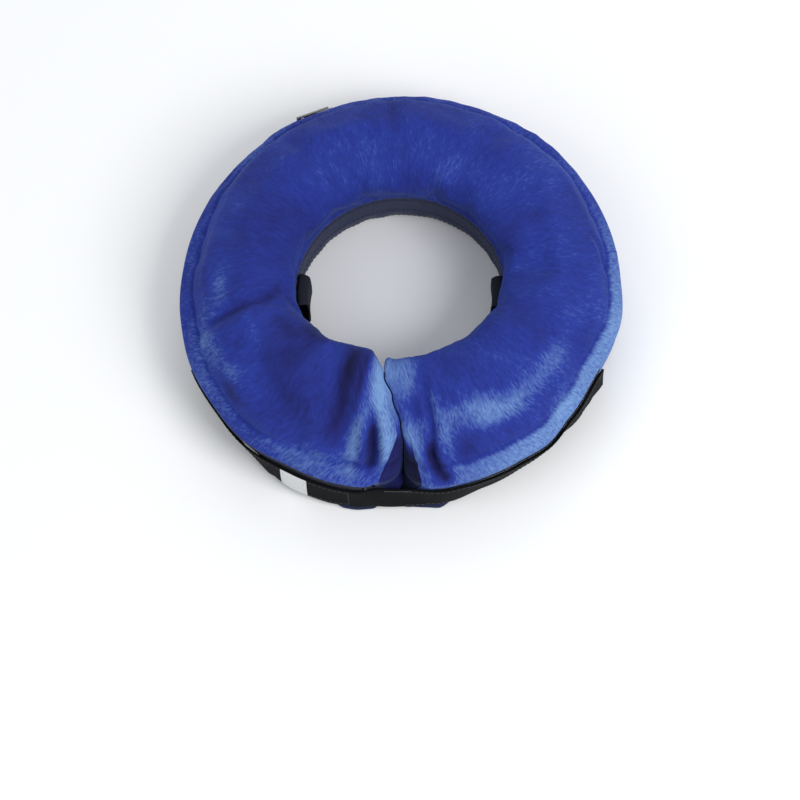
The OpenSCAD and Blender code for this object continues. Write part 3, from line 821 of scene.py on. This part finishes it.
def end_panel(name, side, part, node):
    """The plush disc that closes one end of the ring at the slit, with its rounded rim."""
    order = list(range(CAP_COLS, -1, -1)) if side < 0 else list(range(cols - 1 - CAP_COLS, cols))
    rim = grid[order[-1]]
    centre = rim.mean(0)
    rings = [grid[c] for c in order]
    even = rim
    for _ in range(END_PASSES):
        even = evened(even, 0)
    for share in END_RINGS:
        dish = np.array([side * 2.0 * (1 - share ** 2), 0, 0])
        rings.append(centre + (even + (rim - even) * share ** 4 - centre) * share + dish)
    stack = np.array(rings)
    n = len(stack)
    faces = grid_faces(n, rows, wrap=True)
    last, hub = (n - 1) * rows, n * rows
    faces += [(last + j, hub, last + (j + 1) % rows) for j in range(rows)]
    if side < 0:
        faces = [f[::-1] for f in faces]
    verts = np.vstack([stack.reshape(-1, 3), stack[-1].mean(0)[None]])
    normals = np.zeros(verts.shape)
    for f in faces:
        p = verts[list(f)]
        for k in f:
            normals[k] += np.cross(p[1] - p[0], p[2] - p[0])
    normals /= np.linalg.norm(normals, axis=1, keepdims=True) + 1e-9
    normals[:rows] = outward[order[0]]
    shares = np.array([1.0] * len(order) + list(END_RINGS))[:, None]
    pile = UV[order + [order[-1]] * len(END_RINGS)].copy()
    pile[:, :, 0] += side * 40 * (1 - shares)
    pile[:, :, 1] *= shares
    uv = np.vstack([pile.reshape(-1, 2), pile[-1:, 0]])
    # Painted sheen and shade of the cover carried onto the top of each end, and painted shade of the end's
    # own shadow below it
    high = smooth((stack[:, :, 2] - (58 if side < 0 else 50)) / 12) \
        * smooth((CAP_COLS + 1 - np.arange(n)[:, None]) / 4)
    tone = np.append((high * painted_sheen_shade[order[0]] + (1 - high) * END_DARK[side]).ravel(), END_DARK[1])
    obj = shell(name, verts, normals, faces, PLUSH_T, PLUSH, uv, tone)
    stands_for(obj, node, part)


end_panel("end_panel_left_plush", -1, "left", "end_panel_left")
end_panel("end_panel_right_plush", 1, "right", "end_panel_right")


# ---- thin parts made of many small pieces
class Heap:
    """Many small rounded bars gathered into one mesh."""

    def __init__(self):
        self.verts, self.faces = [], []

    def bar(self, centre, along, out, length, wide, deep):
        side = np.cross(out, along)
        base = len(self.verts)
        for t, s in ((-0.5, 0.35), (-0.3, 1), (0.3, 1), (0.5, 0.35)):
            for k in range(6):
                a = math.pi * k / 3
                across = side * wide / 2 * s * math.cos(a) + out * deep / 2 * s * math.sin(a)
                self.verts.append(centre + along * length * t + across)
        rings = [(i + k, i + (k + 1) % 6, i + 6 + (k + 1) % 6, i + 6 + k)
                 for i in (0, 6, 12) for k in range(6)]
        for f in rings + [(5, 4, 3, 2, 1, 0), (18, 19, 20, 21, 22, 23)]:
            self.faces.append(tuple(base + k for k in f))

    def build(self, name, material):
        return link(name, self.verts, self.faces, material)


def unit(v):
    return v / (np.linalg.norm(v) + 1e-12)


def on_cover(col, run_at, out=0.0):
    """Place on the cover at a fractional column and a distance along the section, and its directions."""
    row = np.interp(run_at, run, np.arange(rows))
    i, j = min(int(col), cols - 2), min(int(row), rows - 2)
    a, b = col - i, row - j
    share = np.array([[(1 - a) * (1 - b), (1 - a) * b], [a * (1 - b), a * b]])[:, :, None]
    place, n = ((share * field[i:i + 2, j:j + 2]).sum((0, 1)) for field in (grid, outward))
    return place + unit(n) * out, unit(grid[i + 1, j] - grid[i, j]), unit(n)


heaps = {part: Heap() for part in PARTS}


def seam_stitches(run_at, col_to=cols - 5 - CAP_COLS, pitch=3.8):
    """A row of stitches round the cover, from the left end, at one distance along the section."""
    sample = np.arange(CAP_COLS + 3, col_to + 1)
    length = run_along([on_cover(c, run_at)[0] for c in sample])
    for at in np.arange(pitch / 2, length[-1], pitch):
        col = float(np.interp(at, length, sample))
        place, along, n = on_cover(col, run_at, 0.12)
        part = "left" if col < LEFT_CUT else "right" if col > RIGHT_CUT else "back"
        heaps[part].bar(place, along, n, 2.6, 0.5, 0.5)


for row, past, *col_to in (("base", 3), ("base", -2.5, BACK_CUT), ("wall", 1.6, BACK_CUT), ("top", -3)):
    seam_stitches(run[first[row]] + past, *col_to)
seam_stitches(run[-1] - 5)
seam_stitches(4.0)
for part, heap in heaps.items():
    threads = heap.build("seam_thread_" + part, THREAD)
    attach(threads, part)

# ---- zipper
TAPE_R = -box_mm("zipper_tape_upper")[0][0]
TAPE_T, TAPE_EDGE, TAPE_TOP, TAPE_FOOT = 0.7, 0.45, 39.6, 29.2
TAPE_ROWS, COIL_PITCH = 5, 1.5


def column_of(angle):
    """Fractional column of the left half at a nominal angle."""
    return float(np.interp(-angle, -ANGLE[:BACK_CUT + 1], np.arange(BACK_CUT + 1)))


def zip_point(col, z, out):
    """Place in the zipper band: out is the distance beyond the tape's outer face."""
    i = min(int(col), cols - 2)
    a = col - i
    top, low = ((1 - a) * grid[i, first[key]] + a * grid[i + 1, first[key]] for key in ("band", "wall"))
    f = (PLUSH_EDGE[1] - z) / (PLUSH_EDGE[1] - WALL_TOP[1])
    xy = top[:2] * (1 - (PLUSH_EDGE[0] - TAPE_R - out) / np.linalg.norm(top[:2]))
    return np.array([xy[0], xy[1], (1 - f) * top[2] + f * low[2]])


def zip_out(col):
    return unit(zip_point(col, ZIP_Z, 1) - zip_point(col, ZIP_Z, 0))


ZIP_COLS = np.arange(column_of(266.2), column_of(108.0), 1.0)


def zip_tape(name, z_low, z_high, node):
    heights = np.linspace(z_high, z_low, TAPE_ROWS)
    outer = np.array([[zip_point(c, z, 0) for z in heights] for c in ZIP_COLS])
    n = np.cross(np.gradient(outer, axis=0), np.gradient(outer, axis=1))
    n /= np.linalg.norm(n, axis=2, keepdims=True)
    downs = np.linspace(0, z_high - z_low, TAPE_ROWS)
    uv = [(2.0 * i, down) for i in range(len(ZIP_COLS)) for down in downs]
    obj = shell(name, outer, n, grid_faces(len(ZIP_COLS), TAPE_ROWS), TAPE_T, TAPE, uv)
    stands_for(obj, node, "left")


zip_tape("zipper_tape_upper_cloth", ZIP_Z + TAPE_EDGE, TAPE_TOP, "zipper_tape_upper")
zip_tape("zipper_tape_lower_cloth", TAPE_FOOT, ZIP_Z - TAPE_EDGE, "zipper_tape_lower")


def zip_teeth(name, side, node):
    """One row of coil turns, each reaching past the middle between two turns of the other row."""
    heap = Heap()
    sample = np.arange(column_of(264.6), column_of(108.2), 0.5)
    length = run_along([zip_point(c, ZIP_Z, 0.9) for c in sample])
    for at in np.arange(0.8 + (COIL_PITCH / 2 if side > 0 else 0), length[-1] - 0.5, COIL_PITCH):
        col = float(np.interp(at, length, sample))
        high, low = (zip_point(col, ZIP_Z + side * z, 0.8) for z in (2.35, -0.35))
        heap.bar((high + low) / 2, unit(high - low), zip_out(col), 2.7, 0.85, 1.6)
    stands_for(heap.build(name, COIL), node, "left")


zip_teeth("zipper_coil_upper_turns", 1, "zipper_coil_upper")
zip_teeth("zipper_coil_lower_turns", -1, "zipper_coil_lower")

stop = Heap()
stop_at = column_of(265.2)
stop.bar(zip_point(stop_at, ZIP_Z, 0.9), np.array([0, 0, 1.0]), zip_out(stop_at), 5.0, 2.2, 2.4)
stands_for(stop.build("zipper_stop_front_clamp", STOP), "zipper_stop_front", "left")

cover_piece("zipper_end_front_canvas", "band wall", "zipper_end_tab_front", "left",
            (CAP_COLS, int(column_of(266.0))))
cover_piece("zipper_end_back_canvas", "band wall", "zipper_end_tab_back", "back",
            (int(column_of(107.2)), BACK_CUT))

# ---- strap
STRAP_T = 1.5


def strap_point(angle, f, out):
    """Place on the strap: f is 0 at its lower edge and 1 at its upper, out is beyond its inner face."""
    lean = float(strap_lean(angle))
    foot = OUT_R - 2.4 - max(lean - LEAN_BASE, -1) - min(lean, 0)
    wavy = 0.35 * math.sin(angle * 0.31 + 1.3) * math.sin(math.pi * f)
    r = foot + f * (OUT_R - 0.1 - foot) + out + wavy + float(plan_shift(angle))
    lift = 1.5 * float(rise(angle, 258, 266) * fall(angle, 288, 298))
    return polar(r, angle, STRAP_LOW + f * (STRAP_HIGH - STRAP_LOW) + lift)


STRAP_START, STRAP_END = 203.0, 338.0
# The bodies on either side of each crease of the strap, the angles it bends between, and its span's end
STRAP_SPANS = (
    ("left_half", "strap_front", 252, 272, 274.5),
    ("strap_front", "strap_middle", 277, 297, 299.5),
    ("strap_middle", "strap_tip", 302, 322, STRAP_END),
)


def strap_blend(obj):
    """Fixes a piece of the strap in place, with its placement baked into its mesh."""
    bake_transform(obj)


def each_half_degree(low, high):
    return np.linspace(low, high, int((high - low) / 0.5) + 1)


def strip(name, angles, f_low, f_high, inside, outside, material, bulge=0.0):
    """Length of strap or tape with rounded edges, closed at its ends."""
    shares = np.linspace(f_low, f_high, 11)
    mid = (inside + outside) / 2
    edge = (outside - inside) / 2 / (STRAP_HIGH - STRAP_LOW) * 0.8
    profile = [(f, outside + bulge * math.sin(math.pi * (f - f_low) / (f_high - f_low))) for f in shares]
    profile += [(f_high + edge, mid)] + [(f, inside) for f in shares[::-1]] + [(f_low - edge, mid)]
    verts = np.array([[strap_point(a, f, out) for f, out in profile] for a in angles])
    n = len(profile)
    faces = [f[::-1] for f in grid_faces(len(angles), n, wrap=True)]
    faces.append(tuple(range(n)))
    last = (len(angles) - 1) * n
    faces.append(tuple(last + k for k in range(n - 1, -1, -1)))
    wide = STRAP_HIGH - STRAP_LOW
    uv = np.array([[(math.radians(a) * OUT_R, f * wide) for f, _ in profile] for a in angles])
    obj = link(name, verts, faces, material, uv)
    for e in obj.data.edges:
        if all(k < n for k in e.vertices) or all(k >= last for k in e.vertices):
            e.use_edge_sharp = True
    return obj


WEB = (0.0, 1.0, 0.0, STRAP_T, WEBBING)  # lower and upper edge, inner and outer face, look
HOOKS = (0.07, 0.93, -0.5, 0.05, HOOK_FUZZ)
STRAP_PIECES = (
    # piece, its span, the angles it runs between, section, slot, nodes
    ("strap_root_webbing", 0, STRAP_START, 274.5, WEB, "strap_webbing", "strap_base strap_front"),
    ("strap_middle_webbing", 1, 274.5, 299.5, WEB, "strap_webbing", "strap_front strap_middle"),
    ("strap_tip_webbing", 2, 299.5, STRAP_END, WEB, "strap_webbing", "strap_middle strap_tip"),
    ("hook_tape_front", 0, 272.0, 274.5, HOOKS, "hook_tape", "hook_strip_front"),
    ("hook_tape_middle", 1, 274.5, 299.5, HOOKS, "hook_tape", "hook_strip_front hook_strip_middle"),
    ("hook_tape_tip", 2, 299.5, 337.0, HOOKS, "hook_tape", "hook_strip_middle hook_strip_tip"),
)
for name, k, low, high, shape, slot, nodes in STRAP_PIECES:
    piece = strip(name, each_half_degree(low, high), *shape)
    strap_blend(piece)
    stands_for(piece, nodes)

# Stitches of the strap: along both edges where it is sewn down, and along the hook tape
strap_threads = [Heap() for _ in STRAP_SPANS]
pale_threads = Heap()


def strap_stitch(angle, f, out=STRAP_T, length=2.4, across=False, heap=None):
    if heap is None:
        heap = strap_threads[[angle <= span[4] for span in STRAP_SPANS].index(True)]
    at = strap_point(angle, f, out + 0.05)
    along = unit(strap_point(angle + 0.1, f, out) - strap_point(angle - 0.1, f, out))
    up = unit(strap_point(angle, f + 0.02, out) - strap_point(angle, f - 0.02, out))
    heap.bar(at, up if across else along, unit(np.cross(along, up)), length, 0.55, 0.5)


pitch = math.degrees(3.6 / OUT_R)
for lo, hi, margin in ((STRAP_START + 1, 258, 0.1), (273, STRAP_END - 1, 0.08)):
    for angle in np.arange(lo, hi, pitch):
        strap_stitch(angle, margin)
        strap_stitch(angle, 1 - margin)
for f in np.arange(0.12, 0.92, 0.13):
    for angle in (STRAP_START + 1.2, 258.0, STRAP_END - 1.6):
        strap_stitch(angle, f, across=True)
for angle in np.arange(267.5, 274.4, math.degrees(1.9 / OUT_R)):
    strap_stitch(angle, 0.965, length=0.8, heap=pale_threads)
for k, (heap, span) in enumerate(zip(strap_threads, STRAP_SPANS)):
    strap_blend(heap.build(f"strap_thread_{k + 1}", STRAP_THREAD))
strap_blend(pale_threads.build("strap_edge_thread", PALE_THREAD))

# ---- label, left plain
label_mid = 243.3
label_half = math.degrees(10.0 / OUT_R)
angles = np.linspace(label_mid - label_half, label_mid + label_half, 19)
label = strip("label_tape", angles, 0.04, 0.95, STRAP_T - 0.05, STRAP_T + 0.45, LABEL, bulge=0.25)
stands_for(label, "label", "left")
hem = Heap()
for angle in (label_mid - label_half + 0.55, label_mid + label_half - 0.55):
    for f in np.arange(0.08, 0.93, 0.075):
        strap_stitch(angle, f, out=STRAP_T + 0.5, length=1.4, across=True, heap=hem)
attach(hem.build("label_thread", LABEL_THREAD), "left")

# ---- loop patch on the right half
patch_cols = np.flatnonzero((SIDE > 0) & (ANGLE + 90 >= 6.5) & (ANGLE + 90 <= 65))
patch_at = np.ix_(patch_cols, np.arange(first["wall"], first["base"]))
patch = shell("loop_patch_fuzz", (grid + outward * 0.7)[patch_at], outward[patch_at],
              grid_faces(*grid[patch_at].shape[:2]), 0.9, LOOP_FUZZ, UV[patch_at])
stands_for(patch, "loop_patch", "right")

# ---- neck loops
LOOP_W = 22.0
LOOP_MID_R = NECK_R - 6.25


def neck_loop(node, part, middle):
    """A web sewn under the neck seam and under the inner turn, standing off the wall between them."""
    path = np.vstack([
        bezier((72.9, 31.2), (72.6, 34.2), (71.5, 34.6), (69.5, 34.4), 8)[:-1],
        bezier((69.5, 34.4), (67, 34.2), (LOOP_MID_R, 33), (LOOP_MID_R, 30), 8)[:-1],
        bezier((LOOP_MID_R, 30), (LOOP_MID_R - 0.5, 22), (LOOP_MID_R - 0.4, 15), (LOOP_MID_R, 9), 12)[:-1],
        bezier((LOOP_MID_R, 9), (LOOP_MID_R, 5.2), (67, 4.2), (70, 4.2), 8)[:-1],
        bezier((70, 4.2), (73, 4.2), (75, 4.3), (77.3, 3.2), 6)])
    run_to = run_along(path)
    tangent = np.gradient(path, axis=0)
    tangent /= np.linalg.norm(tangent, axis=1, keepdims=True)
    away = np.stack([tangent[:, 1], -tangent[:, 0]], 1)
    half = math.degrees(math.asin(LOOP_W / 2 / LOOP_MID_R))
    angles = np.linspace(middle - half, middle + half, 15)
    verts, uv = [], []
    ring = [(a, 0.7) for a in angles] + [(angles[-1] + 0.35, 0)] \
        + [(a, -0.7) for a in angles[::-1]] + [(angles[0] - 0.35, 0)]
    for k, (p, n) in enumerate(zip(path, away)):
        for a, out in ring:
            q = p + n * out
            verts.append(polar(q[0], a, q[1]))
            uv.append((run_to[k], (a - middle) / half * LOOP_W / 2))
    n = len(ring)
    last = (len(path) - 1) * n
    faces = grid_faces(len(path), n, wrap=True)
    faces += [tuple(range(n - 1, -1, -1)), tuple(range(last, last + n))]
    stands_for(link(node + "_web", verts, faces, LOOP_WEBBING, uv), node, part)


for part, at_side, in_front in (("left", 180, 255), ("right", 0, 285)):
    neck_loop("neck_loop_" + part, part, at_side)
    neck_loop("neck_loop_front_" + part, part, in_front)

# ---- valve
ring_profile = [(PORT_IN - 0.2, 0.9), (PORT_IN + 0.1, 0.1), (PORT_IN + 0.8, -0.3),
                (PORT_OUT + 0.2, -0.35), (PORT_OUT + 0.9, -0.15), (PORT_OUT + 1.0, 0.9),
                (PORT_OUT, 1.6), (PORT_IN + 0.7, 2.1), (PORT_IN, 1.7)]
ring_n = 96
verts, uv = [], []
for i in range(ring_n + 1):
    a = 2 * math.pi * i / ring_n
    for k, (r, z) in enumerate(ring_profile):
        wave = 0.12 * math.sin(a * 22) * (1 if k < 6 else 0.4)
        verts.append((VALVE[0] + (r + wave) * math.cos(a), VALVE[1] + (r + wave) * math.sin(a), z))
        uv.append((a * PORT_OUT, k * 1.2))
faces = [f[::-1] for f in grid_faces(ring_n + 1, len(ring_profile), wrap=True)]
stands_for(link("port_binding_tape", verts, faces, BINDING, uv), "port_binding", "left")

HARDWARE = (
    # nodes shown as they are, look, slot, rounding of their edges in millimetres
    ("zipper_slider zipper_pull", METAL, "zipper_metal", 0.3),
    ("zipper_stop_back", STOP, "zipper_stop", 0.3),
    ("valve_flange valve_stem valve_flap valve_plug", VINYL, "valve_vinyl", 0.25),
)
for names, look, slot, bevel in HARDWARE:
    for name in names.split():
        obj = frame["nodes"][name]
        obj.data.materials.clear()
        obj.data.materials.append(look)
        round_off = obj.modifiers.new("Bevel", "BEVEL")
        round_off.width = bevel * MM
        round_off.segments = 2
        round_off.limit_method = "ANGLE"
        round_off.angle_limit = math.radians(40)

# ---- bladder
FILM_INSET, FILM_ENDS, FILM_T = 9, 9, 0.4  # mm inside the cover, columns short of each end, thickness
inner_grid = grid[::FINE, ::FINE]
b_cols, b_rows = inner_grid.shape[:2]
centres = inner_grid.mean(axis=1, keepdims=True)
toward = inner_grid - centres
film_grid = centres + toward * (1 - FILM_INSET / np.linalg.norm(toward, axis=2, keepdims=True))
film_normals = grid_normals(film_grid)
film_cuts = [FILM_ENDS, round(LEFT_CUT / FINE), round(RIGHT_CUT / FINE), b_cols - 1 - FILM_ENDS]
for part, nodes, k in (("left", "bladder_left", 0), ("back", "bladder_left bladder_right", 1),
                       ("right", "bladder_right", 2)):
    here = slice(film_cuts[k], film_cuts[k + 1] + 1)
    verts, normals = film_grid[here].reshape(-1, 3), film_normals[here].reshape(-1, 3)
    faces = grid_faces(here.stop - here.start, b_rows, wrap=True)
    if part != "back":
        end = 0 if part == "left" else len(verts) - b_rows
        hub = len(verts)
        verts = np.vstack([verts, verts[end:end + b_rows].mean(0)])
        normals = np.vstack([normals, [1.0 if part == "left" else -1.0, 0, 0]])
        cap = [(end + j, end + (j + 1) % b_rows, hub) for j in range(b_rows)]
        faces += cap if part == "left" else [(b, a, hub) for a, b, hub in cap]
    film = shell("bladder_film_" + part, verts, normals, faces, FILM_T, FILM)
    stands_for(film, nodes, part)

# ---- floor, light and camera
floor_look = Look("floor", (0.86, 0.86, 0.86), 0.7, specular=0.2)
FLOOR_HALF, FLOOR_Z = 3000, -0.5
square = [(x * FLOOR_HALF, y * FLOOR_HALF, FLOOR_Z) for x, y in ((-1, -1), (1, -1), (1, 1), (-1, 1))]
floor = link("floor", square, [(0, 1, 2, 3)], floor_look.material)


def area_light(name, place, size, power):
    """Soft lamp turned to the middle of the collar."""
    data = bpy.data.lights.new(name, "AREA")
    data.size = size
    data.energy = power
    obj = bpy.data.objects.new(name, data)
    bpy.context.scene.collection.objects.link(obj)
    obj.location = place
    obj.rotation_mode = "QUATERNION"
    obj.rotation_quaternion = (Vector((0, 0, 0.03)) - Vector(place)).to_track_quat("-Z", "Y")


area_light("key", (1.3, -0.9, 1.5), 1.1, 34)
area_light("fill", (-1.6, -1.0, 1.4), 1.8, 14)
area_light("back", (-0.2, 1.8, 1.2), 1.6, 12)
world = bpy.data.worlds.new("soft_studio")
world.use_nodes = True
sky = world.node_tree.nodes["Background"].inputs
sky["Color"].default_value = (0.9, 0.94, 1.0, 1)
sky["Strength"].default_value = 0.55
bpy.context.scene.world = world
bpy.context.scene.view_settings.view_transform = "Standard"

CAM_AZ, CAM_EL, CAM_DIST, CAM_ROLL, CAM_DROP = 5.19, 63.4, 1.8, 4.19, 2.47
CAM_LENS, CAM_SENSOR = 114.7, 36.0
target = Vector((0, 0, 0.035))
az, el = math.radians(CAM_AZ), math.radians(CAM_EL)
back = Vector((math.sin(az) * math.cos(el), -math.cos(az) * math.cos(el), math.sin(el)))
camera_data = bpy.data.cameras.new("camera")
camera_data.lens, camera_data.sensor_width = CAM_LENS, CAM_SENSOR
camera = bpy.data.objects.new("camera", camera_data)
bpy.context.scene.collection.objects.link(camera)
camera.rotation_mode = "QUATERNION"
camera.location = target + back * CAM_DIST
roll = Matrix.Rotation(math.radians(-CAM_ROLL), 3, "Z")
drop = Matrix.Rotation(math.radians(-CAM_DROP), 3, "X")
look_at = (-back).to_track_quat("-Z", "Y").to_matrix()
camera.rotation_quaternion = (look_at @ roll @ drop).to_quaternion()
bpy.context.scene.camera = camera
